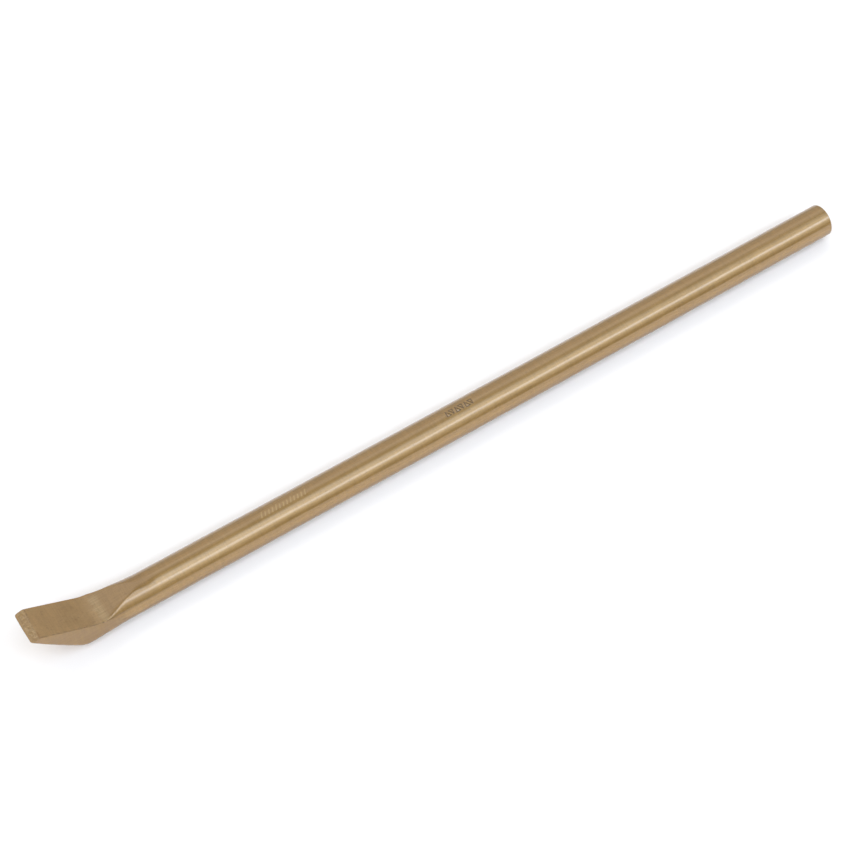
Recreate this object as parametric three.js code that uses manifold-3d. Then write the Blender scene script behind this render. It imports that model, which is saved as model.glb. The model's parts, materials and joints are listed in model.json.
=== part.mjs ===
// A straight pry bar, forged from one round bar: a butt at one end and an upturned chisel blade at the other.
// Millimetres. +Z is up, X runs along the bar from the blade (-X) to the butt (+X), and the bar lies on Z = 0.

import * as THREE from 'three';
import { mergeVertices } from 'three/addons/utils/BufferGeometryUtils.js';
import Module from 'manifold-3d';

const wasm = await Module();
wasm.setup();

// The bar
const OVERALL_LENGTH = 500;
const BAR_DIAMETER = 19;
const BUTT_ROUNDING = 0.8;

// The blade. Distances along the bar are measured from the tip, and heights from the bar's axis.
const TIP_EDGE_HEIGHT = 22.6;
const TIP_FACE_LENGTH = 1.15;
const TIP_FACE_RISE = 0.6;
const TIP_BEVEL_END = 4.9;
const TIP_BEVEL_RISE = 0.9;
const FLAT_ANGLE = THREE.MathUtils.degToRad(28.7);
const FLAT_END = 30.6;
const HOLLOW_CENTRE = 37.6;
const HOLLOW_HEIGHT = 7.5;
const HOLLOW_RUN_OUT = 64.8;
const BLADE_HALF_WIDTH = 9.7;
const FLANK_SWELL = 0.22;

// The underside of the blade, which meets the bar at the heel
const HEEL_FROM_TIP = 25.1;
const HEEL_SOFTENING = 1.5;
const UNDERSIDE_BULGE = 0.65;
const TIP_CORNER_RADIUS = 2.6;
const HEEL_CORNER_RADIUS = 7.4;

// Where the square blade section turns into the round bar, on the upper and the lower side
const TOP_SQUARE_UNTIL = 30.1;
const TOP_ROUND_FROM = 52.1;
const BOTTOM_ROUND_FROM = 80.6;

const POINTS_AROUND = 64;
const CUT_ALLOWANCE = 1.5;
const CUTTER_REACH = 20;

const BAR_RADIUS = BAR_DIAMETER / 2;
const BLEND_SPANS = [
  { from: -3, to: 0, steps: 2 },
  { from: 0, to: 22.6, steps: 8 },
  { from: 22.6, to: 27.6, steps: 4 },
  { from: 27.6, to: TOP_ROUND_FROM, steps: 9 },
  { from: TOP_ROUND_FROM, to: BOTTOM_ROUND_FROM, steps: 5 },
];

const { lerp, smoothstep } = THREE.MathUtils;

// Height of the blade's flat upper face
function flatHeight(fromTip) {
  const start = TIP_EDGE_HEIGHT + TIP_BEVEL_RISE;
  return start - Math.tan(FLAT_ANGLE) * (fromTip - TIP_BEVEL_END);
}

// Height of the underside: a slightly full slope from the tip edge, softened into the bar at the heel
function undersideHeight(fromTip) {
  const along = fromTip / HEEL_FROM_TIP;
  const fullness = along > 0 && along < 1 ? 4 * UNDERSIDE_BULGE * along * (1 - along) : 0;
  const slope = lerp(TIP_EDGE_HEIGHT, -BAR_RADIUS, along) - fullness;
  const difference = THREE.MathUtils.clamp((slope + BAR_RADIUS) / HEEL_SOFTENING, -1, 1);
  const softened = HEEL_SOFTENING * (1 - difference * difference) / 4;
  return Math.max(slope, -BAR_RADIUS) + (Math.abs(difference) < 1 ? softened : 0);
}

// Radius of the section's lower corners, which open out until the bar is round
function lowerCornerRadius(fromTip, height) {
  const toHeel = THREE.MathUtils.clamp(fromTip / HEEL_FROM_TIP, 0, 1);
  const onBlade = lerp(TIP_CORNER_RADIUS, HEEL_CORNER_RADIUS, toHeel ** 1.5);
  const toBar = smoothstep(fromTip, HEEL_FROM_TIP, BOTTOM_ROUND_FROM);
  return Math.min(lerp(onBlade, BAR_RADIUS, toBar), height * 0.6);
}

// One section across the bar, before the blade's upper side is cut, as a closed path of (Y, height)
function sectionPath(fromTip) {
  const bottom = undersideHeight(fromTip);
  const top = Math.max(BAR_RADIUS, flatHeight(fromTip) + CUT_ALLOWANCE);
  const toBar = smoothstep(fromTip, FLAT_END, BOTTOM_ROUND_FROM);
  const half = lerp(BLADE_HALF_WIDTH, BAR_RADIUS, toBar);
  const swell = lerp(FLANK_SWELL, 0, toBar);
  const lower = lowerCornerRadius(fromTip, top - bottom);
  const upper = BAR_RADIUS * smoothstep(fromTip, TOP_SQUARE_UNTIL, TOP_ROUND_FROM);
  const middle = (bottom + lower + top - upper) / 2;
  const path = new THREE.Path();
  path.moveTo(0, bottom);
  path.lineTo(half - lower, bottom);
  path.absarc(half - lower, bottom + lower, lower, -Math.PI / 2, 0, false);
  path.quadraticCurveTo(half + swell, middle, half, top - upper);
  path.absarc(half - upper, top - upper, upper, 0, Math.PI / 2, false);
  path.lineTo(upper - half, top);
  path.absarc(upper - half, top - upper, upper, Math.PI / 2, Math.PI, false);
  path.quadraticCurveTo(-half - swell, middle, -half, bottom + lower);
  path.absarc(lower - half, bottom + lower, lower, Math.PI, Math.PI * 1.5, false);
  path.lineTo(0, bottom);
  return path;
}

// The sections from beyond the tip to the butt, each a ring of points with its distance from the tip
function sectionRings() {
  const rings = [];
  for (const { from, to, steps } of BLEND_SPANS) {
    for (let step = 0; step < steps; step += 1) {
      const fromTip = lerp(from, to, step / steps);
      rings.push({ fromTip, points: sectionPath(fromTip).getSpacedPoints(POINTS_AROUND) });
    }
  }
  const round = new THREE.Path().absarc(0, 0, BAR_RADIUS, -Math.PI / 2, Math.PI * 1.5, false);
  const roundPoints = round.getSpacedPoints(POINTS_AROUND);
  rings.push({ fromTip: BOTTOM_ROUND_FROM, points: roundPoints });
  for (let step = 0; step <= 3; step += 1) {
    const angle = step / 3 * Math.PI / 2;
    const fromTip = OVERALL_LENGTH - BUTT_ROUNDING * (1 - Math.sin(angle));
    const radius = BAR_RADIUS - BUTT_ROUNDING * (1 - Math.cos(angle));
    const points = roundPoints.map((point) => point.clone().multiplyScalar(radius / BAR_RADIUS));
    rings.push({ fromTip, points });
  }
  return rings;
}

// A round bar whose rings are pressed to the sections, as the forging dies do
function forgedBlank() {
  const rings = sectionRings();
  const last = rings.length - 1;
  const geometry = new THREE.CylinderGeometry(1, 1, 1, POINTS_AROUND, last);
  const position = geometry.attributes.position;
  for (let index = 0; index < position.count; index += 1) {
    const { fromTip, points } = rings[Math.round((position.getY(index) + 0.5) * last)];
    const turn = Math.atan2(position.getX(index), position.getZ(index)) / (2 * Math.PI);
    const place = (Math.round(turn * POINTS_AROUND) + POINTS_AROUND) % POINTS_AROUND;
    const onAxis = Math.hypot(position.getX(index), position.getZ(index)) < 0.5;
    const middle = (points[0].y + points[POINTS_AROUND / 2].y) / 2;
    const across = onAxis ? 0 : points[place].x;
    const height = onAxis ? middle : points[place].y;
    position.setXYZ(index, fromTip, across, height);
  }
  return geometry;
}

// The cut that leaves the blade's upper side: blunt tip face, bevel, flat, hollow, and a run-out onto the bar
function bladeCutter() {
  const profile = new THREE.Shape();
  const faceTop = TIP_EDGE_HEIGHT + TIP_FACE_RISE;
  const barTop = BAR_RADIUS + 0.05;
  const third = (HOLLOW_RUN_OUT - HOLLOW_CENTRE) / 3;
  const flatReach = (HOLLOW_CENTRE - FLAT_END) / 2;
  profile.moveTo(-TIP_FACE_LENGTH * 5, TIP_EDGE_HEIGHT - TIP_FACE_RISE * 5);
  profile.lineTo(TIP_FACE_LENGTH, faceTop);
  profile.lineTo(TIP_BEVEL_END, flatHeight(TIP_BEVEL_END));
  profile.lineTo(FLAT_END, flatHeight(FLAT_END));
  profile.quadraticCurveTo(FLAT_END + flatReach, HOLLOW_HEIGHT, HOLLOW_CENTRE, HOLLOW_HEIGHT);
  profile.bezierCurveTo(HOLLOW_CENTRE + third, HOLLOW_HEIGHT, HOLLOW_RUN_OUT - third, barTop,
    HOLLOW_RUN_OUT, barTop);
  profile.lineTo(HOLLOW_RUN_OUT, TIP_EDGE_HEIGHT + CUTTER_REACH);
  profile.lineTo(-TIP_FACE_LENGTH * 5, TIP_EDGE_HEIGHT + CUTTER_REACH);
  const depth = BLADE_HALF_WIDTH * 4;
  const geometry = new THREE.ExtrudeGeometry(profile, { depth, bevelEnabled: false, curveSegments: 10 });
  geometry.rotateX(Math.PI / 2);
  geometry.translate(0, depth / 2, 0);
  return geometry;
}

function toSolid(geometry) {
  const bare = geometry.clone();
  bare.deleteAttribute('normal');
  bare.deleteAttribute('uv');
  const merged = mergeVertices(bare, 1e-4);
  const vertProperties = new Float32Array(merged.attributes.position.array);
  const triVerts = new Uint32Array(merged.index.array);
  return new wasm.Manifold(new wasm.Mesh({ numProp: 3, vertProperties, triVerts }));
}

function toGeometry(solid) {
  const { vertProperties, triVerts } = solid.getMesh();
  const geometry = new THREE.BufferGeometry();
  geometry.setAttribute('position', new THREE.BufferAttribute(vertProperties, 3));
  geometry.setIndex(new THREE.BufferAttribute(triVerts, 1));
  geometry.computeVertexNormals();
  return geometry;
}

function bronze() {
  return new THREE.MeshStandardMaterial({ color: 0xc9a878, roughness: 0.35, metalness: 1 });
}

function pryBar() {
  const geometry = toGeometry(toSolid(forgedBlank()).subtract(toSolid(bladeCutter())));
  const bar = new THREE.Mesh(geometry, bronze());
  bar.name = 'pry_bar';
  bar.position.set(-OVERALL_LENGTH / 2, 0, BAR_RADIUS);
  return bar;
}

const group = new THREE.Group();
group.add(pryBar());

export default group;
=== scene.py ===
"""A straight non-sparking pry bar on a pale studio floor: fine surface, ground bronze, soft light."""

import json
import math
from collections import namedtuple

import bmesh
import bpy
import numpy as np
from mathutils import Matrix, Vector, noise


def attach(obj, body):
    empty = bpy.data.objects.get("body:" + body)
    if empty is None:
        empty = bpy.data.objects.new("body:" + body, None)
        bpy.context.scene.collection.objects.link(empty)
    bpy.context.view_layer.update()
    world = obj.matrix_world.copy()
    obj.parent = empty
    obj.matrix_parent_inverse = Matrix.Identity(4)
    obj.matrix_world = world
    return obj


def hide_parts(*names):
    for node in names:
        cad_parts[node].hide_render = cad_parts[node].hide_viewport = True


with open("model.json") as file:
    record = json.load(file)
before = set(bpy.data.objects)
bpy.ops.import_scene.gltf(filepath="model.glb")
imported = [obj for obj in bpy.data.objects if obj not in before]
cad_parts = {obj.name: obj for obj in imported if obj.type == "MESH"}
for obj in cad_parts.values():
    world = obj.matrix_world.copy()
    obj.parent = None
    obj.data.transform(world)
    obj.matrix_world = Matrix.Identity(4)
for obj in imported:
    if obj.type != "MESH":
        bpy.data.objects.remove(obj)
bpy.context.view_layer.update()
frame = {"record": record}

MM = 0.001


def mount_place(name):
    """Where one of the record's mounts is, in millimetres."""
    mount = next(entry for entry in frame["record"]["mounts"] if entry["name"] == name)
    return [round(part / MM, 3) for part in mount["pos_m"]]


# ---------------------------------------------------------------- the bar's sizes, in millimetres
# Distances along the bar are measured from the tip of the blade, and heights from the bar's axis.
# A pair named for a change, such as CROWN_GROWS, is the stretch of the bar where it happens.
BUTT_PLACE = mount_place("butt_face")
LENGTH = 2 * BUTT_PLACE[0]
RADIUS = BUTT_PLACE[2]
BUTT_ROUNDING = 0.5
BOW = 0.22

# The blade's upper side
TIP_HEIGHT = 22.6
FACE_END = (1.15, 23.2)
BEVEL_END = (4.9, 23.5)
FLAT_SLOPE = math.tan(math.radians(28.7))
FLAT_STOPS = 30.6
HOLLOW_STARTS = 37.6
HOLLOW_HEIGHT = 7.5
RUN_OUT = 64.8
RUN_OUT_ABOVE_BAR = 0.05
RUN_OUT_SLOPE = 0.3

# The run-out's near edge, which falls away a little beside the ridge
CROWN_STARTS = -7.4
CROWN_DRIFT = 0.36
CROWN_WIDTH = 2.4
CROWN_DROP = 0.2
CROWN_GROWS = (40.0, 46.0)
CROWN_FADES = (45.0, 52.0)

# The blank's upper corners, from square on the blade to round on the bar
BLANK_ALLOWANCE = 0.06
BLANK_LIFT = 2.0
BLANK_LIFT_STOPS = 20.0
BLANK_RISES_FROM = 36.5
NEAR_TOP_RISES = (39.0, 51.2)
FAR_TOP_RISES = (36.5, 50.7)
NEAR_CORNER_ROUNDS = (36.5, 52.0)
FAR_CORNER_ROUNDS = (36.5, 63.5)
CREASE_RADIUS = 0.32

# The flanks, the underside and the tip's corners
EDGE_HALF_WIDTH = 9.55
FLANK_SWELL = 0.22
SWELL_FADES = (30.0, 44.0)
HEEL = 25.1
HEEL_SOFTENING = 2.8
UNDERSIDE_BULGE = 0.65
TIP_CORNER = 2.6
HEEL_CORNER = 7.4
ROUND_BELOW_FROM = 54.0
PLAN_HALF_WIDTH = 9.7
PLAN_CORNER_NEAR = 0.8
PLAN_CORNER_FAR = 0.9
FAR_TAPER = 0.65

# How the bevel's two edges wander across the blade, as sine waves: size, pace and start
BEVEL_WANDER = ((0.25, 1.7, 0.6), (0.12, 4.3, 0.0))

# How softly the cuts meet
RIDGE_SOFTNESS = (0.22, 1.82)
RIDGE_SOFTENS = (56.0, 68.0)
BEVEL_SOFTNESS = 0.35
FACE_SOFTNESS = 0.45
PLAN_SOFTNESS = 0.4

# The surface's mesh: points around, and stretches along as (from, to, rings)
AROUND = 192
DENSE_RAYS = 900
RAY_REACH = 1.8
RAY_HALVINGS = 26
TURN_SHARE = 0.38
TURN_SPREAD = 4
EVENING_PASSES = 3
RINGS = [(0.06, 0.6, 7), (0.6, 1.8, 8), (1.8, 5.4, 18), (5.4, 23.0, 30), (23.0, 26.5, 12),
         (26.5, 34.5, 16), (34.5, 39.0, 15), (39.0, 66.0, 48), (66.0, 90.0, 22),
         (90.0, LENGTH - BUTT_ROUNDING, 157)]
RIM_STEPS = 6
CAP_RINGS = (0.93, 0.82, 0.68, 0.52, 0.36, 0.2, 0.08)

# The regions of the surface: how far a surface has to face up, and where each one starts and ends
FACES_UP = (0.55, 0.8)
TILTS_UP = (0.1, 0.4)
FACE_TILTS_UP = (0.2, 0.5)
FLANK_TURNS_UP = (0.3, 0.6)
FACE_STOPS = (0.8, 1.3)
BEVEL = ((0.9, 1.4), (3.9, 5.0))
FLAT = ((4.2, 5.2), (35.0, 38.0))
HOLLOW = ((35.0, 38.0), (58.0, 78.0))
HOLLOW_EDGES = (9.05, 9.45)
FLANK_STOPS = (40.0, 54.0)
BAR_STARTS = (56.0, 80.0)

# The pale patch where the flat's lengthwise grinding ends, with a ragged front edge
PATCH_STARTS = (35.2, 37.0)
PATCH_STOPS = (38.6, 41.6)
PATCH_FAR_EDGE = (5.0, 8.5)
PATCH_RAGGEDNESS = 1.5

# The surface's unevenness, and how far it lies below the plain shape
WAVINESS = 0.06
BEVEL_UNEVENNESS, BEVEL_SUNK = 0.10, 0.08
BLADE_UNEVENNESS, BLADE_SUNK = (0.05, 0.013), 0.06
BLADE_EVENS_OUT = (34.0, 40.0)
FLAT_UNEVENNESS, FLAT_SUNK = 0.03, 0.02

# The short groove behind the bevel, and the broken line of grime at the bevel's foot. Both slant a
# little across the blade.
GROOVE_PLACE = (5.3, -6.5)
GROOVE_SLANT = 0.12
GROOVE_WIDTH = 0.45
GROOVE_DEPTH = 0.16
GROOVE_STOPS = (-5.4, -4.2)
FOOT_PLACE = 4.7
FOOT_SLANT = 0.10
FOOT_WIDTH = 0.28
FOOT_STARTS = (-6.0, -4.0)
FOOT_BREAKS = (-0.1, 0.3)
FOOT_DARKNESS = 0.5

# Painted shade: the dotted dark line in the crease along the flat's near edge
CREASE_ACROSS = -9.12
CREASE_WIDTH = 0.22
CREASE_ALONG = ((4.8, 6.0), (35.0, 36.5))
CREASE_DOTS = (-0.25, 0.35)
CREASE_SHADE_DARKNESS = (0.10, 0.60)

# The painted shade on the bar's far side and towards its underside, by how far round the bar it is, in
# degrees from the camera's side upward
FAR_SIDE_SHADE = (112, 128)
FAR_SIDE_SHADE_STARTS = (38.0, 50.0)
UNDERSIDE_SHADE = (-8, 18)
UNDERSIDE_SHADE_SHARE = 0.8

# Small dents, most of them along the near edge, and darker stains on the flat
Scar = namedtuple("Scar", "place radius depth darkness")
SCARS = [Scar((36.4, -9.35, 7.6), 0.50, 0.34, 1.0), Scar((31.7, -9.3, 9.0), 0.34, 0.12, 0.9),
         Scar((38.6, -9.4, 7.0), 0.36, 0.10, 0.45), Scar((39.8, -9.1, 6.6), 0.36, 0.10, 0.5),
         Scar((42.0, -8.9, 5.9), 0.36, 0.10, 0.45), Scar((26.8, -2.3, 11.5), 0.40, 0.15, 0.7),
         Scar((11.0, -4.7, 20.2), 0.35, 0.10, 0.5), Scar((26.8, -9.1, 11.6), 0.30, 0.05, 0.6)]
Stain = namedtuple("Stain", "x y radius")
STAINS = [Stain(24.5, 3.9, 3.2), Stain(24.7, -3.6, 2.6), Stain(21.2, -3.7, 2.2), Stain(22.0, 0.5, 2.0)]

# A painted dark reflection: the thin dark line along the bar's near side, behind the ridge, where the
# surface meets a tilted plane that runs along the camera's line of sight: the way that the plane faces,
# across and up, and how far it is from the bar's axis.
DARK_REFLECTION_WAY = (0.870, 0.492)
DARK_REFLECTION_DISTANCE = 4.75
DARK_REFLECTION_WIDTH = 0.30
DARK_REFLECTION_DARKNESS = (0.45, 0.25)
DARK_REFLECTION_PALES = (43.0, 52.0)
DARK_REFLECTION_ALONG = ((38.0, 41.0), (56.0, 95.0))

# The two marks pressed into the bar's top, one of strokes and one of triangles. The width and the
# depth are a stroke's, and the window is the stretch of the bar whose mesh is divided finely. A
# stroke's edge is softened from a little inside it to a little outside.
Mark = namedtuple("Mark", "centre length count lean width depth window")
SLANTED_MARK = Mark(144.2, 25.5, 13, 0.44, 0.70, 0.10, (129.0, 162.0))
STROKE_FOOT, STROKE_TOP, TALL_STROKE_TOP = -0.9, 1.1, 1.8
POINTED_MARK = Mark(251.9, 17.8, 6, -0.25, 0.50, 0.22, (241.0, 263.0))
TRIANGLE_LOW, TRIANGLE_HIGH, TRIANGLE_HALF_WIDTH = -1.1, 2.1, 1.15
MARK_HALF_WIDTH = 2.9
STROKE_EDGE = (-0.10, 0.14)
LONG_EDGE = 1.0


# ---------------------------------------------------------------- the bar's shape
def smooth(value, low, high):
    """A share that eases from 0 to 1 between two values."""
    t = np.clip((value - low) / (high - low), 0.0, 1.0)
    return t * t * (3.0 - 2.0 * t)


def stretch(value, grows, fades):
    """A share that grows from 0 to 1 over one range and fades back over another."""
    return smooth(value, *grows) * (1.0 - smooth(value, *fades))


def bell(value, width):
    """A share that is 1 where the value is 0 and falls away on both sides."""
    return np.exp(-(value / width) ** 2)


def blend(a, b, t):
    return a + (b - a) * t


def soft_max(a, b, width):
    """The larger of two fields, rounded off where they cross."""
    t = np.clip(0.5 + 0.5 * (a - b) / width, 0.0, 1.0)
    return b * (1.0 - t) + a * t + width * t * (1.0 - t)


def flat_height(x):
    return BEVEL_END[1] - FLAT_SLOPE * (x - BEVEL_END[0])


def scoop_height(x, y):
    """The blade's upper side: the flat, the hollow, and the run-out onto the bar."""
    corner = flat_height(FLAT_STOPS)
    t = np.clip((x - FLAT_STOPS) / (HOLLOW_STARTS - FLAT_STOPS), 0.0, 1.0)
    hollow = blend(HOLLOW_HEIGHT, corner, (1.0 - t) ** 2)
    run = blend(HOLLOW_HEIGHT, RADIUS + RUN_OUT_ABOVE_BAR, smooth(x, HOLLOW_STARTS, RUN_OUT))
    z = np.where(x < FLAT_STOPS, flat_height(x), np.where(x < HOLLOW_STARTS, hollow, run))
    crown = np.clip(CROWN_STARTS - y + CROWN_DRIFT * (x - HOLLOW_STARTS), 0.0, CROWN_WIDTH)
    drop = CROWN_DROP * (crown / CROWN_WIDTH) ** 2 * stretch(x, CROWN_GROWS, CROWN_FADES)
    return z - drop + RUN_OUT_SLOPE * np.maximum(x - RUN_OUT, 0.0)


def underside_height(x):
    """The blade's underside: a slightly full slope that is softened into the bar at the heel."""
    along = x / HEEL
    fullness = np.where((along > 0) & (along < 1), 4 * UNDERSIDE_BULGE * along * (1 - along), 0.0)
    slope = blend(TIP_HEIGHT, -RADIUS, along) - fullness
    return soft_max(slope, np.full_like(slope, -RADIUS), HEEL_SOFTENING)


def blank_top(x, y):
    """The forged blank's upper level, which stays just above the blade's flat until the hollow."""
    lift = BLANK_LIFT * np.maximum(BLANK_LIFT_STOPS - x, 0.0)
    on_blade = scoop_height(x, 0 * x) + BLANK_ALLOWANCE + lift
    to_bar = np.where(y > 0, smooth(x, *FAR_TOP_RISES), smooth(x, *NEAR_TOP_RISES))
    rising = blend(HOLLOW_HEIGHT + BLANK_ALLOWANCE, RADIUS, to_bar)
    return np.where(x < BLANK_RISES_FROM, on_blade, rising)


def upper_radius(x, y):
    """The blank's upper corners, which the two sides round over at different rates."""
    near = smooth(x, *NEAR_CORNER_ROUNDS)
    start, end = FAR_CORNER_ROUNDS
    far = 1.0 - (1.0 - np.clip((x - start) / (end - start), 0.0, 1.0)) ** 2
    return blend(CREASE_RADIUS, RADIUS, np.where(y > 0, far, near))


def lower_radius(x, height):
    """The blank's lower corners, which open out from the tip until the bar is round."""
    on_blade = blend(TIP_CORNER, HEEL_CORNER, np.clip(x / HEEL, 0.0, 1.0) ** 1.5)
    opened = blend(on_blade, RADIUS, smooth(x, HEEL, ROUND_BELOW_FROM))
    fitting = np.minimum(opened, np.maximum(height, 0.05) * 0.6)
    return np.where(x > ROUND_BELOW_FROM, RADIUS, fitting)


def body_field(x, y, z):
    """The forged blank's section, square at the blade and round along the bar. Negative inside."""
    bottom, top = underside_height(x), blank_top(x, y)
    height = np.minimum(scoop_height(x, y), top) - bottom
    level = np.clip((z - bottom) / np.maximum(height, 0.2), 0.0, 1.0)
    swell = FLANK_SWELL * np.sin(math.pi * level) * (1.0 - smooth(x, *SWELL_FADES))
    half = blend(EDGE_HALF_WIDTH, RADIUS, smooth(x, FLAT_STOPS, ROUND_BELOW_FROM)) + swell
    off = z - (top + bottom) / 2
    radius = np.where(off > 0, upper_radius(x, y), lower_radius(x, height))
    side = np.abs(y) - half + radius
    rise = np.abs(off) - (top - bottom) / 2 + radius
    outside = np.hypot(np.maximum(side, 0.0), np.maximum(rise, 0.0))
    return np.minimum(np.maximum(side, rise), 0.0) + outside - radius


def half_plane(x, z, start, end):
    """Distance above the line through two points of the side view."""
    run, rise = end[0] - start[0], end[1] - start[1]
    return ((z - start[1]) * run - (x - start[0]) * rise) / math.hypot(run, rise)


def plan_field(x, y):
    """The tip's outline from above, with its two rounded corners. Negative inside."""
    corner = np.where(y > 0, PLAN_CORNER_FAR, PLAN_CORNER_NEAR)
    taper = np.where(y > 0, FAR_TAPER * np.clip(1.0 - x / BEVEL_END[0], 0.0, 1.0), 0.0)
    side, ahead = np.abs(y) - PLAN_HALF_WIDTH + taper + corner, corner - x
    outside = np.hypot(np.maximum(side, 0.0), np.maximum(ahead, 0.0)) - corner
    return outside + np.minimum(np.maximum(side, ahead), 0.0)


def bar_field(x, y, z):
    """The whole bar's shape between its tip and its butt. Negative inside."""
    slope = np.gradient(scoop_height(x[:, :1], 0 * x[:, :1])[:, 0], x[:, 0])[:, None]
    scoop = (z - scoop_height(x, y)) / np.hypot(1.0, np.clip(slope, -1.0, 1.0))
    ridge = blend(*RIDGE_SOFTNESS, smooth(x, *RIDGE_SOFTENS))
    field = soft_max(body_field(x, y, z), scoop, ridge)
    uneven = sum(size * np.sin(y * pace + start) for size, pace, start in BEVEL_WANDER)
    bevel = half_plane(x + uneven, z, FACE_END, BEVEL_END)
    field = soft_max(field, bevel, BEVEL_SOFTNESS)
    face = half_plane(x, z, (0.0, TIP_HEIGHT), FACE_END)
    field = soft_max(field, face, FACE_SOFTNESS)
    return soft_max(field, plan_field(x, y), PLAN_SOFTNESS)


# ---------------------------------------------------------------- the bar's mesh
def section_frame(x):
    """The middle and the half height of each section, which the rays start from."""
    top = np.minimum(scoop_height(x, 0 * x), blank_top(x, 0 * x))
    for start, end in (((0.0, TIP_HEIGHT), FACE_END), (FACE_END, BEVEL_END)):
        slope = (end[1] - start[1]) / (end[0] - start[0])
        top = np.minimum(top, start[1] + slope * (x - start[0]))
    bottom = underside_height(x)
    return (top + bottom) / 2, np.maximum((top - bottom) / 2, 0.02)


def cast(x, angles):
    """Where each section's outline is met by rays at the given angles. Both are (stations, rays)."""
    middle, half_height = section_frame(x[:, 0])
    dy = np.cos(angles) * RADIUS
    dz = np.sin(angles) * half_height[:, None]
    near, far = np.zeros_like(angles), np.full_like(angles, RAY_REACH)
    for _ in range(RAY_HALVINGS):
        mid = (near + far) / 2
        inside = bar_field(x, mid * dy, middle[:, None] + mid * dz) < 0
        near = np.where(inside, mid, near)
        far = np.where(inside, far, mid)
    reach = (near + far) / 2
    return reach * dy, middle[:, None] + reach * dz


def stations():
    """Distances from the tip of the rings that make the surface, closer where the shape turns."""
    values = [np.linspace(low, high, count, endpoint=False) for low, high, count in RINGS]
    return np.concatenate(values + [[LENGTH - BUTT_ROUNDING]])


def even_angles(x):
    """Ray angles for each section that follow its length and gather at its corners."""
    count = len(x)
    base = np.linspace(-math.pi / 2, 1.5 * math.pi, DENSE_RAYS + 1)
    grid_x = np.repeat(x[:, None], DENSE_RAYS + 1, axis=1)
    y, z = cast(grid_x, np.repeat(base[None], count, axis=0))
    step_y, step_z = np.diff(y, axis=1), np.diff(z, axis=1)
    length = np.hypot(step_y, step_z)
    heading = np.unwrap(np.arctan2(step_z, step_y), axis=1)
    turn = np.abs(np.diff(heading, axis=1, prepend=heading[:, -1:] - 2 * math.pi))
    kernel = np.hanning(2 * TURN_SPREAD + 1)
    kernel /= kernel.sum()
    wrapped = np.concatenate([turn[:, -TURN_SPREAD:], turn, turn[:, :TURN_SPREAD]], axis=1)
    turn = np.array([np.convolve(row, kernel, "valid") for row in wrapped])
    density = (1.0 - TURN_SHARE) * length / length.sum(1, keepdims=True)
    density += TURN_SHARE * turn / turn.sum(1, keepdims=True)
    total = np.concatenate([np.zeros((count, 1)), np.cumsum(density, axis=1)], axis=1)
    total /= total[:, -1:]
    for _ in range(EVENING_PASSES):
        total[1:-1] = (total[:-2] + 2 * total[1:-1] + total[2:]) / 4
    wanted = np.arange(AROUND) / AROUND
    return np.array([np.interp(wanted, row, base) for row in total])


def bar_grid():
    """The surface's points, as (stations, points around, axes)."""
    x = stations()
    angles = even_angles(x)
    grid_x = np.repeat(x[:, None], AROUND, axis=1)
    y, z = cast(grid_x, angles)
    return np.stack([grid_x, y, z], axis=2)


def grid_normals(points):
    """The outward direction at each of the surface's points."""
    along = np.gradient(points, axis=0)
    around = np.roll(points, -1, axis=1) - np.roll(points, 1, axis=1)
    normals = np.cross(around, along)
    normals /= np.maximum(np.linalg.norm(normals, axis=2, keepdims=True), 1e-9)
    outward = points - points.mean(axis=1, keepdims=True)
    return normals * np.sign((normals * outward).sum(2).mean())


def butt_rings(last):
    """Rings that round the rim over and close the end face, from the bar's last full ring."""
    rings = []
    for step in range(1, RIM_STEPS + 1):
        angle = step / RIM_STEPS * math.pi / 2
        ring = last.copy()
        ring[:, 0] = LENGTH - BUTT_ROUNDING * (1 - math.sin(angle))
        ring[:, 1:] *= (RADIUS - BUTT_ROUNDING * (1 - math.cos(angle))) / RADIUS
        rings.append(ring)
    rim = rings[-1]
    for share in CAP_RINGS:
        ring = rim.copy()
        ring[:, 1:] *= share
        rings.append(ring)
    return np.array(rings)


def tip_faces():
    """Faces across the tip's first ring, a sliver, from its lower side to its upper side."""
    quarter, half = AROUND // 4, AROUND // 2
    faces = [(quarter, quarter + 1, quarter - 1)]
    for step in range(1, half - 1):
        a, b = quarter + step, quarter + step + 1
        c, d = (quarter - step - 1) % AROUND, (quarter - step) % AROUND
        faces.append((a, b, c, d))
    faces.append((quarter + half - 1, quarter + half, (quarter - half + 1) % AROUND))
    return faces


def build_mesh(name, points, masks):
    """The closed surface as an object, with each mask as an attribute that fades out on the butt."""
    rings = np.concatenate([points, butt_rings(points[-1])])
    count = len(rings)
    centre = np.array([[LENGTH, 0.0, 0.0]])
    verts = np.vstack([rings.reshape(-1, 3), centre]) + np.array([-LENGTH / 2, 0.0, RADIUS])
    faces = tip_faces()
    for i in range(count - 1):
        a, b = i * AROUND, (i + 1) * AROUND
        for j in range(AROUND):
            k = (j + 1) % AROUND
            faces.append((a + j, a + k, b + k, b + j))
    last = (count - 1) * AROUND
    faces += [(last + j, last + (j + 1) % AROUND, count * AROUND) for j in range(AROUND)]
    mesh = bpy.data.meshes.new(name)
    mesh.from_pydata((verts * MM).tolist(), [], faces)
    fade = np.clip(np.linspace(1.0, -1.2, count - len(points)), 0.0, 1.0)
    for mask_name, values in masks.items():
        on_butt = values[-1:] * fade[:, None]
        data = np.append(np.concatenate([values, on_butt]).ravel(), 0.0).astype(np.float32)
        attribute = mesh.attributes.new(mask_name, "FLOAT", "POINT")
        attribute.data.foreach_set("value", data)
    piece = bpy.data.objects.new(name, mesh)
    bpy.context.scene.collection.objects.link(piece)
    return piece


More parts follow.
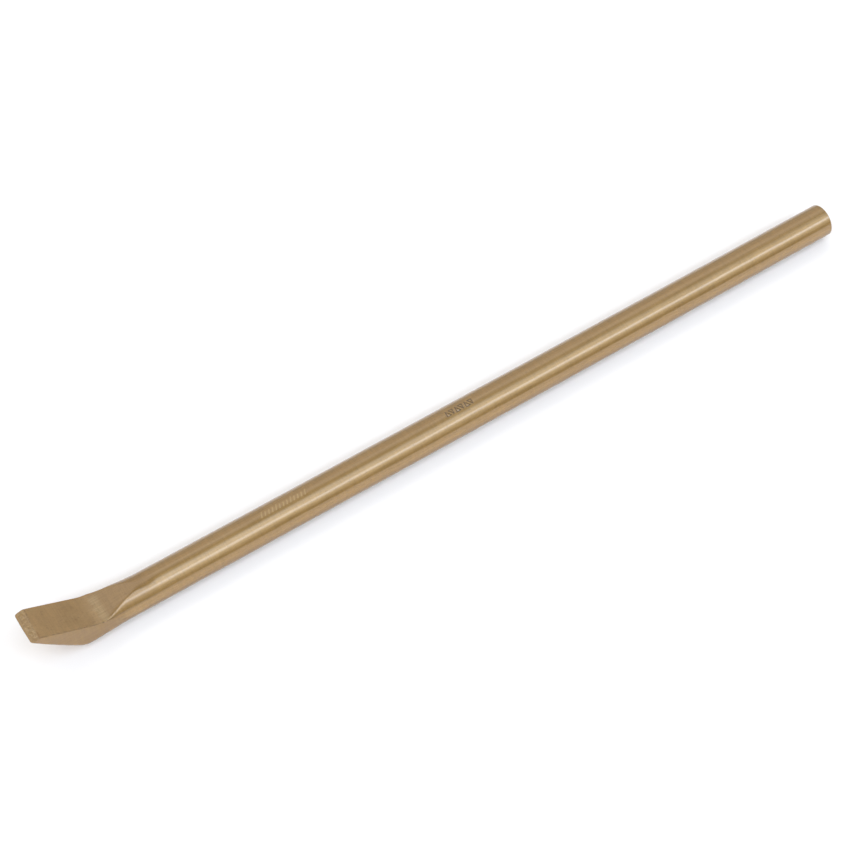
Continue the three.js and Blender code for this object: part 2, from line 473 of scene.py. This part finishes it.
def finish_mesh(mesh):
    """Bow the bar very slightly sideways, turn every face outward and shade it smoothly."""
    bm = bmesh.new()
    bm.from_mesh(mesh)
    for vertex in bm.verts:
        share = vertex.co.x / (MM * LENGTH / 2)
        vertex.co.y += BOW * MM * (2.0 * share * share - 1.0)
    bmesh.ops.recalc_face_normals(bm, faces=bm.faces)
    for face in bm.faces:
        face.smooth = True
    bm.to_mesh(mesh)
    bm.free()


# ---------------------------------------------------------------- the surface's regions and wear, and painted shade and reflection
NOISE_SEED_STEP = 17.31
NOISE_FINENESS = 0.6
NOISE_GAP = 2.1


def noise_field(points, scale, seed, octaves=1):
    """Smooth noise from -1 to 1 at each point, with its own scale along each axis."""
    places = (points.reshape(-1, 3) * np.array(scale) + seed * NOISE_SEED_STEP).tolist()
    if octaves == 1:
        values = [noise.noise(Vector(p)) for p in places]
    else:
        values = [noise.fractal(Vector(p), NOISE_FINENESS, NOISE_GAP, octaves) for p in places]
    return np.array(values).reshape(points.shape[:-1])


def bar_waviness(points):
    """How far the ground bar's surface lies from a true cylinder, nearly everywhere inward."""
    slow = noise_field(points, (1 / 34, 1 / 9, 1 / 9), 1)
    quick = noise_field(points, (1 / 15, 1 / 6, 1 / 6), 2)
    return (slow + 0.5 * quick - 1.2) * WAVINESS


def dent(points, scar):
    """How far into a small dent each point is, from 0 to 1."""
    return bell(np.linalg.norm(points - np.array(scar.place), axis=-1), scar.radius)


def stained(points):
    """Uneven round stains, as seen from above."""
    x, y = points[..., 0], points[..., 1]
    cover = [bell(np.hypot(x - stain.x, y - stain.y), stain.radius) for stain in STAINS]
    return np.max(cover, axis=0) * (0.75 + 0.5 * noise_field(points, (0.5, 0.5, 0.5), 10, 3))


def painted_side_shade(points, normals):
    """Painted shade: darker metal on the bar's far side and towards its underside."""
    x = points[..., 0]
    lean = np.degrees(np.arctan2(normals[..., 2], -normals[..., 1])) % 360
    below = (lean + 90) % 360 - 90
    far_side = smooth(lean, *FAR_SIDE_SHADE) * smooth(x, *FAR_SIDE_SHADE_STARTS)
    underside = UNDERSIDE_SHADE_SHARE * (1 - smooth(below, *UNDERSIDE_SHADE)) * smooth(x, *BAR_STARTS)
    return np.maximum(far_side, underside)


def grime_and_shade(points, normals):
    """Darker in the dents, grime at the bevel's foot, painted shade in the crease along the flat's near
    edge, and a painted dark reflection line along the bar's near side.
    """
    x, y, z = (points[..., axis] for axis in range(3))
    up = normals[..., 2]
    in_dents = np.max([scar.darkness * dent(points, scar) for scar in SCARS], axis=0)
    # painted dark reflection: a thin dark line along the near side, at a fixed place as the camera sees
    # it
    line = bell(y * DARK_REFLECTION_WAY[0] + z * DARK_REFLECTION_WAY[1] + DARK_REFLECTION_DISTANCE, DARK_REFLECTION_WIDTH) * (y < 0)
    line *= blend(*DARK_REFLECTION_DARKNESS, smooth(x, *DARK_REFLECTION_PALES)) * stretch(x, *DARK_REFLECTION_ALONG)
    # painted shade in the crease along the flat's near edge, broken into dots
    dotted = smooth(noise_field(points * np.array([1, 0, 0]), (1.3, 1, 1), 8, 2), *CREASE_DOTS)
    crease = bell(y - CREASE_ACROSS, CREASE_WIDTH) * stretch(x, *CREASE_ALONG)
    crease *= smooth(up, *TILTS_UP) * blend(*CREASE_SHADE_DARKNESS, dotted)
    broken = smooth(noise_field(points, (1.6, 1.6, 1.6), 9, 2), *FOOT_BREAKS)
    foot = bell(x - FOOT_PLACE - FOOT_SLANT * y, FOOT_WIDTH) * smooth(y, *FOOT_STARTS)
    foot *= smooth(up, *FACES_UP) * broken * FOOT_DARKNESS
    return np.max([in_dents, line, crease, foot], axis=0)


def region_masks(points, normals):
    """How far each point belongs to each region, from 0 to 1."""
    x, y, up = points[..., 0], points[..., 1], normals[..., 2]
    on_top = smooth(up, *FACES_UP)
    flat = on_top * stretch(x, *FLAT)
    ragged = noise_field(points * np.array([0.15, 1, 0]), (1, 0.9, 1), 7, 2)
    patch = smooth(x + PATCH_RAGGEDNESS * ragged, *PATCH_STARTS) * (1 - smooth(x, *PATCH_STOPS))
    inside_edges = 1 - smooth(np.abs(y), *HOLLOW_EDGES)
    groove = bell(x - GROOVE_PLACE[0] - GROOVE_SLANT * (y - GROOVE_PLACE[1]), GROOVE_WIDTH)
    return {
        "face": smooth(up, *FACE_TILTS_UP) * (1 - smooth(x, *FACE_STOPS)),
        "bevel": on_top * stretch(x, *BEVEL),
        "flat": flat,
        "patch": on_top * patch * (1 - smooth(y, *PATCH_FAR_EDGE)),
        "hollow": on_top * stretch(x, *HOLLOW) * inside_edges,
        "flank": (1 - smooth(x, *FLANK_STOPS)) * (1 - smooth(np.abs(up), *FLANK_TURNS_UP)),
        "groove": groove * (1 - smooth(y, *GROOVE_STOPS)) * smooth(up, *TILTS_UP),
        "stain": stained(points) * flat,
        # painted shade on the far side and towards the underside
        "far_and_under_shade": painted_side_shade(points, normals),
        # darker dents and grime, with painted shade in the crease and a painted dark reflection line
        "grime_and_painted_shade": grime_and_shade(points, normals),
        "light_mark": np.zeros_like(x),
        "dark_mark": np.zeros_like(x),
    }


def surface_relief(points, masks):
    """How far the worn surface stands out from the plain shape, in millimetres."""
    on_bar = smooth(points[..., 0], *BAR_STARTS)
    unevenness = blend(*BLADE_UNEVENNESS, smooth(points[..., 0], *BLADE_EVENS_OUT))
    pitted = BEVEL_UNEVENNESS * noise_field(points, (1.1, 1.1, 1.1), 3, 3) - BEVEL_SUNK
    forged = unevenness * noise_field(points, (0.16, 0.16, 0.16), 4, 2) - BLADE_SUNK
    ground = FLAT_UNEVENNESS * noise_field(points, (0.05, 0.6, 0.6), 5, 2) - FLAT_SUNK
    relief = bar_waviness(points) * on_bar + masks["bevel"] * pitted
    relief += (1 - on_bar) * forged + masks["flat"] * ground
    for scar in SCARS:
        relief -= scar.depth * dent(points, scar)
    return relief - GROOVE_DEPTH * masks["groove"]


# ---------------------------------------------------------------- the two pressed marks
def slanted_strokes(mark):
    """A row of leaning strokes like a rule's, with every fourth one taller."""
    strokes = []
    for index, u in enumerate(np.linspace(-mark.length / 2, mark.length / 2, mark.count)):
        top = TALL_STROKE_TOP if index % 4 == 0 else STROKE_TOP
        strokes.append(((u, STROKE_FOOT), (u, top)))
    return strokes


def pointed_strokes(mark):
    """A row of small triangles that point up and down by turns."""
    pitch = mark.length / mark.count
    strokes = []
    for index in range(mark.count):
        u = -mark.length / 2 + (index + 0.5) * pitch
        points_up = index % 2 == 0
        base, tip = (TRIANGLE_LOW, TRIANGLE_HIGH) if points_up else (TRIANGLE_HIGH, TRIANGLE_LOW)
        left, right = (u - TRIANGLE_HALF_WIDTH, base), (u + TRIANGLE_HALF_WIDTH, base)
        peak = (u, tip)
        strokes += [(left, right), (right, peak), (peak, left)]
    return strokes


def stroke_cover(u, v, strokes, mark):
    """How far each point is inside any of the strokes, from 0 outside to 1 inside."""
    nearest = np.full_like(u, 1e3)
    for start, end in strokes:
        (u0, v0), (u1, v1) = ((mark.centre + a + mark.lean * b, b) for a, b in (start, end))
        du, dv = u1 - u0, v1 - v0
        t = np.clip(((u - u0) * du + (v - v0) * dv) / (du * du + dv * dv), 0.0, 1.0)
        nearest = np.minimum(nearest, np.hypot(u - u0 - t * du, v - v0 - t * dv))
    inner, outer = (mark.width / 2 + past for past in STROKE_EDGE)
    return 1.0 - smooth(nearest, inner, outer)


def under_mark(vertex, mark):
    """Whether a vertex is on the bar's top and inside the mark's window."""
    x = vertex.co.x / MM + LENGTH / 2
    on_top = vertex.co.z > RADIUS * MM and abs(vertex.co.y / MM) < MARK_HALF_WIDTH
    return on_top and mark.window[0] < x < mark.window[1]


def press_mark(piece, strokes, mark, mask_name):
    """Divide the bar's top finely inside the mark's window and press the strokes into it."""
    bm = bmesh.new()
    bm.from_mesh(piece.data)
    mask = bm.verts.layers.float[mask_name]
    for cuts, only_long_edges in ((5, True), (1, False)):
        inside = {v for v in bm.verts if under_mark(v, mark)}
        edges = [e for e in bm.edges if e.verts[0] in inside and e.verts[1] in inside]
        if only_long_edges:
            edges = [e for e in edges if abs(e.verts[0].co.x - e.verts[1].co.x) > LONG_EDGE * MM]
        bmesh.ops.subdivide_edges(bm, edges=edges, cuts=cuts, use_grid_fill=True)
    marked = [v for v in bm.verts if under_mark(v, mark)]
    place = np.array([v.co for v in marked]) / MM + np.array([LENGTH / 2, 0.0, -RADIUS])
    angle = np.arctan2(place[:, 1], place[:, 2])
    on_cylinder = np.stack([place[:, 0], RADIUS * np.sin(angle), RADIUS * np.cos(angle)], axis=1)
    cover = stroke_cover(place[:, 0], RADIUS * angle, strokes, mark)
    reach = RADIUS + bar_waviness(on_cylinder) - mark.depth * cover
    for vertex, x, turn, r, value in zip(marked, place[:, 0], angle, reach, cover):
        vertex.co = Vector((x - LENGTH / 2, r * math.sin(turn), RADIUS + r * math.cos(turn))) * MM
        vertex[mask] = float(value)
    bm.to_mesh(piece.data)
    bm.free()


# ---------------------------------------------------------------- material
BRONZE = (0.435, 0.264, 0.092)
PALE_BRONZE = (0.485, 0.304, 0.12)
BROWN_BRONZE = (0.37, 0.212, 0.064)
ROSY_BRONZE = (0.305, 0.166, 0.036)
STAINED_BRONZE = (0.33, 0.18, 0.05)
# darker metal for the real stains, and for the painted shade on the far side and underside
STAIN_AND_SHADE_BRONZE = (0.27, 0.15, 0.035)
BRUSHED_BRONZE = (0.56, 0.39, 0.17)
CAST_BRONZE = (0.55, 0.365, 0.15)
BRIGHT_MARK = (0.64, 0.44, 0.18)
DARK_MARK = (0.09, 0.05, 0.018)
RUSSET = (0.30, 0.15, 0.035)
# grime, also used for the painted shade in the crease and the painted dark reflection line
GRIME_AND_SHADE = (0.07, 0.045, 0.025)
EDGE_TINT = (0.8, 0.7, 0.5)
COAT_ROUGHNESS = 0.10
COAT_IOR = 1.7
BUMP_HEIGHT = 0.012
BUMP_STRENGTH = 0.5


class Graph:
    """Short calls that add nodes to a material's or the world's tree, and link them."""

    def __init__(self, tree):
        self.tree = tree

    def feed(self, socket, value):
        if isinstance(value, bpy.types.NodeSocket):
            self.tree.links.new(value, socket)
        else:
            socket.default_value = value

    def calc(self, operation, a, b):
        node = self.tree.nodes.new("ShaderNodeMath")
        node.operation = operation
        self.feed(node.inputs[0], a)
        self.feed(node.inputs[1], b)
        return node.outputs[0]

    def times(self, a, b):
        return self.calc("MULTIPLY", a, b)

    def plus(self, a, b):
        return self.calc("ADD", a, b)

    def scaled(self, value, by, base):
        """A value multiplied by one number, with another added."""
        return self.plus(self.times(value, by), base)

    def mask(self, name):
        node = self.tree.nodes.new("ShaderNodeAttribute")
        node.attribute_name = name
        return node.outputs["Fac"]

    def map_range(self, value, source, target=(0.0, 1.0)):
        node = self.tree.nodes.new("ShaderNodeMapRange")
        node.inputs["From Min"].default_value, node.inputs["From Max"].default_value = source
        node.inputs["To Min"].default_value, node.inputs["To Max"].default_value = target
        self.tree.links.new(value, node.inputs["Value"])
        return node.outputs[0]

    def grain(self, place, size, detail, target=(0.0, 1.0)):
        """Noise with its own grain size in millimetres along each axis, spread between two levels."""
        shrink = self.tree.nodes.new("ShaderNodeVectorMath")
        shrink.operation = "MULTIPLY"
        self.tree.links.new(place, shrink.inputs[0])
        shrink.inputs[1].default_value = tuple(1.0 / (MM * part) for part in size)
        pattern = self.tree.nodes.new("ShaderNodeTexNoise")
        pattern.inputs["Scale"].default_value = 1.0
        pattern.inputs["Detail"].default_value = detail
        pattern.inputs["Roughness"].default_value = 0.6
        self.tree.links.new(shrink.outputs[0], pattern.inputs["Vector"])
        return self.map_range(pattern.outputs["Fac"], (0.3, 0.7), target)

    def mix(self, amount, under, over, kind="MIX"):
        """One colour laid over another by a share."""
        node = self.tree.nodes.new("ShaderNodeMix")
        node.data_type = "RGBA"
        node.blend_type = kind
        self.feed(node.inputs[0], amount)
        for socket, colour in ((node.inputs[6], under), (node.inputs[7], over)):
            self.feed(socket, colour if isinstance(colour, bpy.types.NodeSocket) else colour + (1.0,))
        return node.outputs[2]

    def grey(self, level):
        node = self.tree.nodes.new("ShaderNodeCombineColor")
        for index in range(3):
            self.tree.links.new(level, node.inputs[index])
        return node.outputs[0]


def bronze_grains(graph):
    """The patterns that the colour, the roughness and the bump share, with their sizes in millimetres."""
    place = graph.tree.nodes.new("ShaderNodeTexCoord").outputs["Object"]
    return {
        "blotches": graph.grain(place, (16, 7, 7), 3.0),
        "clouds": graph.grain(place, (46, 16, 16), 2.0),
        "across": graph.grain(place, (0.55, 9, 9), 3.0),
        "across_wide": graph.grain(place, (2.2, 12, 12), 2.0),
        "along": graph.grain(place, (30, 0.8, 0.8), 3.0),
        "grit": graph.grain(place, (0.5, 0.5, 0.5), 2.0),
        "pitting": graph.grain(place, (1.1, 1.1, 1.1), 2.0),
        "specks": graph.calc("MAXIMUM", graph.grain(place, (1.5, 1.1, 1.1), 1.0, (-4.0, 1.0)), 0.0),
    }


def bronze_colour(graph, grains):
    """Mottled metal, then what each region adds to it with painted shade on the far side and underside,
    the grinding lines, and the grime, the painted crease shade and the painted dark reflection line.
    """
    blotches, along, pitting = grains["blotches"], grains["along"], grains["pitting"]
    bevel = graph.mask("bevel")
    colour = graph.mix(graph.scaled(blotches, 0.34, 0.08), BRONZE, PALE_BRONZE)
    colour = graph.mix(graph.scaled(grains["clouds"], 0.3, 0.075), colour, BROWN_BRONZE)
    flat_stain = graph.times(graph.mask("flat"), graph.scaled(blotches, 0.35, 0.12))
    brushed = graph.times(graph.mask("patch"), graph.scaled(along, 0.35, 0.25))
    hidden = graph.times(bevel, graph.scaled(pitting, -0.75, 0.75))
    for amount, tint in ((graph.times(graph.mask("flank"), 0.85), ROSY_BRONZE),
                         (flat_stain, STAINED_BRONZE),
                         (graph.times(graph.mask("stain"), 0.45), STAIN_AND_SHADE_BRONZE),
                         (graph.times(graph.mask("hollow"), 0.55), STAINED_BRONZE),
                         (brushed, BRUSHED_BRONZE),
                         (graph.times(bevel, pitting), CAST_BRONZE),
                         (hidden, STAINED_BRONZE),
                         (graph.times(graph.mask("face"), 0.4), BROWN_BRONZE),
                         (graph.times(graph.mask("groove"), 0.8), RUSSET),
                         # painted shade on the bar's far side and towards its underside
                         (graph.times(graph.mask("far_and_under_shade"), 0.8), STAIN_AND_SHADE_BRONZE)):
        colour = graph.mix(amount, colour, tint)
    lined = graph.times(graph.scaled(grains["across"], 0.16, 0.92),
                        graph.scaled(grains["across_wide"], 0.08, 0.96))
    shade = graph.times(lined, graph.scaled(along, 0.12, 0.94))
    colour = graph.mix(1.0, colour, graph.grey(shade), "MULTIPLY")
    for amount, tint in ((graph.times(grains["specks"], 0.13), GRIME_AND_SHADE),
                         # darker dents and grime, with painted shade in the crease and a painted dark
                         # reflection line
                         (graph.times(graph.mask("grime_and_painted_shade"), 0.85), GRIME_AND_SHADE),
                         (graph.times(graph.mask("light_mark"), 0.5), BRIGHT_MARK),
                         (graph.times(graph.mask("dark_mark"), 0.75), DARK_MARK)):
        colour = graph.mix(amount, colour, tint)
    return colour


def bronze_roughness(graph, grains):
    """Slightly rougher on the blotches and the pale patch, and roughest on the bevel."""
    rough = graph.scaled(grains["across"], 0.06, 0.44)
    for value, by in ((grains["blotches"], 0.07), (graph.mask("patch"), 0.10),
                      (graph.mask("bevel"), 0.12)):
        rough = graph.plus(rough, graph.times(value, by))
    return rough


def bronze_bump(graph, grains):
    """Lines across the bar and along the flat, grit that is coarser on the bevel, and pinholes."""
    flat, grit = graph.mask("flat"), grains["grit"]
    height = graph.times(grains["across"], graph.scaled(flat, -0.7, 1.0))
    height = graph.plus(height, graph.times(grains["along"], graph.times(flat, 0.9)))
    height = graph.plus(height, graph.times(grit, 0.25))
    height = graph.plus(height, graph.times(graph.times(grit, graph.mask("bevel")), 2.0))
    height = graph.plus(height, graph.times(grains["specks"], -0.4))
    bump = graph.tree.nodes.new("ShaderNodeBump")
    bump.inputs["Strength"].default_value = BUMP_STRENGTH
    bump.inputs["Distance"].default_value = BUMP_HEIGHT * MM
    graph.tree.links.new(height, bump.inputs["Height"])
    return bump.outputs["Normal"]


def bronze_material():
    material = bpy.data.materials.new("ground_bronze")
    material.use_nodes = True
    shader = material.node_tree.nodes["Principled BSDF"]
    graph = Graph(material.node_tree)
    grains = bronze_grains(graph)
    graph.feed(shader.inputs["Base Color"], bronze_colour(graph, grains))
    graph.feed(shader.inputs["Roughness"], bronze_roughness(graph, grains))
    graph.feed(shader.inputs["Normal"], bronze_bump(graph, grains))
    shader.inputs["Metallic"].default_value = 1.0
    shader.inputs["Specular Tint"].default_value = EDGE_TINT + (1.0,)
    shader.inputs["Coat Weight"].default_value = 1.0
    shader.inputs["Coat Roughness"].default_value = COAT_ROUGHNESS
    shader.inputs["Coat IOR"].default_value = COAT_IOR
    return material


# ---------------------------------------------------------------- the piece
plain = bar_grid()
plain_normals = grid_normals(plain)
regions = region_masks(plain, plain_normals)
worn = plain + plain_normals * surface_relief(plain, regions)[..., None]

bar = build_mesh("forged_bar", worn, regions)
press_mark(bar, slanted_strokes(SLANTED_MARK), SLANTED_MARK, "light_mark")
press_mark(bar, pointed_strokes(POINTED_MARK), POINTED_MARK, "dark_mark")
finish_mesh(bar.data)

bar.data.materials.append(bronze_material())
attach(bar, "root")
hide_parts("pry_bar")


# ---------------------------------------------------------------- studio
FLOOR_REACH = 4.0
FLOOR_COLOUR = (0.93, 0.87, 0.80, 1.0)
LAMP_HEIGHT = 2.0
LAMP_SIZE = 3.0
LAMP_POWER = 14.0

CAMERA_LENS = 79.449
CAMERA_SENSOR = 36.0
CAMERA_PLACE = (-0.319737, -0.465247, 0.831388)
CAMERA_TARGET = (-0.015592, 0.004537, RADIUS * MM)
CAMERA_ROLL = math.radians(-0.418)

# How bright the studio is at each height in degrees, from the camera's side over to the far side,
# at the end of the studio behind the blade and at the end behind the butt. SKY_ENDS are the two
# directions along the bar where one end's light gives way to the other's, and the bright band
# between SOFTBOX_FROM and SOFTBOX_TO degrees is a little bluer than the rest.
SKY = [(0, 1.2, 1.0), (3, 0.55, 0.45), (5, 0.05, 0.08), (8, 0.0, 0.0), (12, 0.05, 0.0), (16, 0.18, 0.14),
       (20, 0.33, 0.32), (26, 0.53, 0.52), (32, 0.74, 0.66), (37, 0.97, 0.85), (41, 1.65, 1.45),
       (45, 2.5, 2.35), (48, 3.3, 3.3), (50, 3.7, 3.8), (54, 3.7, 3.9), (56, 3.1, 2.9), (59, 2.0, 1.55),
       (62, 1.75, 1.05), (66, 1.85, 0.9), (70, 2.0, 0.93), (77, 2.15, 0.96), (81, 1.65, 0.82),
       (86, 0.75, 0.58), (91, 0.2, 0.4), (97, 0.05, 0.38), (103, 0.2, 0.53), (111, 0.75, 0.93),
       (122, 1.32, 1.13), (135, 0.82, 0.78), (150, 0.68, 0.66), (180, 0.6, 0.58)]
SKY_PEAK = 4.8
SKY_ENDS = (0.1, 0.5)
SOFTBOX_TINT = (0.87, 1.0, 1.2)
SOFTBOX_FROM, SOFTBOX_TO = 38, 89


def add_floor():
    reach = FLOOR_REACH
    corners = [(-reach, -reach, 0), (reach, -reach, 0), (reach, reach, 0), (-reach, reach, 0)]
    mesh = bpy.data.meshes.new("floor")
    mesh.from_pydata(corners, [], [(0, 1, 2, 3)])
    floor = bpy.data.objects.new("floor", mesh)
    bpy.context.scene.collection.objects.link(floor)
    material = bpy.data.materials.new("pale_floor")
    material.use_nodes = True
    shader = material.node_tree.nodes["Principled BSDF"]
    shader.inputs["Base Color"].default_value = FLOOR_COLOUR
    shader.inputs["Roughness"].default_value = 0.9
    mesh.materials.append(material)


def add_lamp():
    """A wide soft lamp straight overhead, which lights the floor and doesn't show in the metal."""
    light = bpy.data.lights.new("overhead", "AREA")
    light.shape = "RECTANGLE"
    light.size = LAMP_SIZE
    light.size_y = LAMP_SIZE
    light.energy = LAMP_POWER
    lamp = bpy.data.objects.new("overhead", light)
    bpy.context.scene.collection.objects.link(lamp)
    lamp.location = (0, 0, LAMP_HEIGHT)
    lamp.visible_glossy = False


def add_camera():
    camera = bpy.data.cameras.new("camera")
    camera.lens = CAMERA_LENS
    camera.sensor_width = CAMERA_SENSOR
    camera.clip_start = 0.01
    view = bpy.data.objects.new("camera", camera)
    bpy.context.scene.collection.objects.link(view)
    aim = (Vector(CAMERA_TARGET) - Vector(CAMERA_PLACE)).to_track_quat("-Z", "Y").to_matrix().to_4x4()
    roll = Matrix.Rotation(CAMERA_ROLL, 4, "Z")
    view.matrix_world = Matrix.Translation(CAMERA_PLACE) @ aim @ roll
    bpy.context.scene.camera = view


def sky_ramp(tree, share, column):
    """The studio's brightness against height for one end, a column of the list above."""
    ramp = tree.nodes.new("ShaderNodeValToRGB")
    tree.links.new(share, ramp.inputs[0])
    elements = ramp.color_ramp.elements
    for row in SKY:
        angle, level = row[0], row[column]
        stop = elements.new(angle / 180) if 0 < angle < 180 else elements[0 if angle == 0 else -1]
        tint = SOFTBOX_TINT if SOFTBOX_FROM < angle < SOFTBOX_TO else (1, 1, 1)
        stop.color = tuple(level / SKY_PEAK * part for part in tint) + (1,)
    return ramp.outputs[0]


def add_world():
    """Soft light from all round, banded by height and fading along the bar."""
    world = bpy.data.worlds.new("studio")
    world.use_nodes = True
    tree = world.node_tree
    graph = Graph(tree)
    parts = tree.nodes.new("ShaderNodeSeparateXYZ")
    tree.links.new(tree.nodes.new("ShaderNodeTexCoord").outputs["Generated"], parts.inputs[0])
    height = graph.calc("ARCTAN2", parts.outputs["Z"], graph.times(parts.outputs["Y"], -1.0))
    share = graph.calc("DIVIDE", height, math.pi)
    toward_butt = graph.map_range(parts.outputs["X"], SKY_ENDS)
    both_ends = [sky_ramp(tree, share, column) for column in (1, 2)]
    background = tree.nodes["Background"]
    graph.feed(background.inputs["Color"], graph.mix(toward_butt, *both_ends))
    background.inputs["Strength"].default_value = SKY_PEAK
    bpy.context.scene.world = world


add_floor()
add_lamp()
add_camera()
add_world()
bpy.context.scene.view_settings.view_transform = "Standard"
